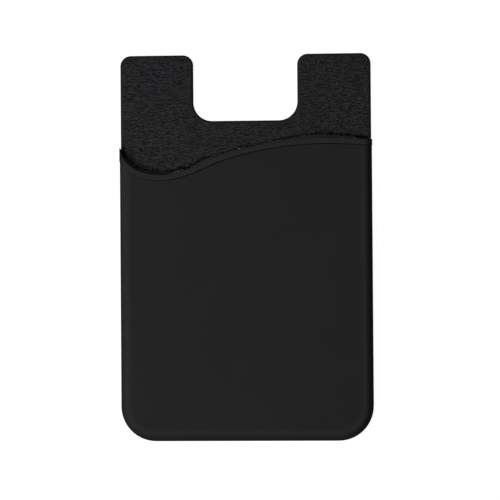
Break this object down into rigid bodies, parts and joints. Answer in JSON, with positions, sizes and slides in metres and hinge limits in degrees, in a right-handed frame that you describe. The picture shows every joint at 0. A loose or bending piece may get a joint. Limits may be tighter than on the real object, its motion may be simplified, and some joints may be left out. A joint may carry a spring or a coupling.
{
  "type": "stick on phone card holder",
  "caption": "Thin silicone pocket with a wavy rimmed mouth and a notched, grained back plate; it sticks to a phone and holds bank cards.",
  "frame": {"origin": "middle of the underside, on the back face of the release liner", "axes": "+X across the pocket to the right as seen from the front, +Y from the closed end to the ears, +Z out of the back through the thickness to the front of the pocket"},
  "size_m": [0.0566, 0.0862, 0.0039],
  "materials": {
    "silicone": "matte black moulded silicone, leather-like grain on the back plate and smooth on the pocket",
    "adhesive": "milky double-sided adhesive film",
    "liner_paper": "smooth coated release paper"
  },
  "bodies": {
    "root": {"silicone_body": "silicone", "adhesive_pad": "adhesive", "release_liner": "liner_paper"}
  },
  "joints": []
}
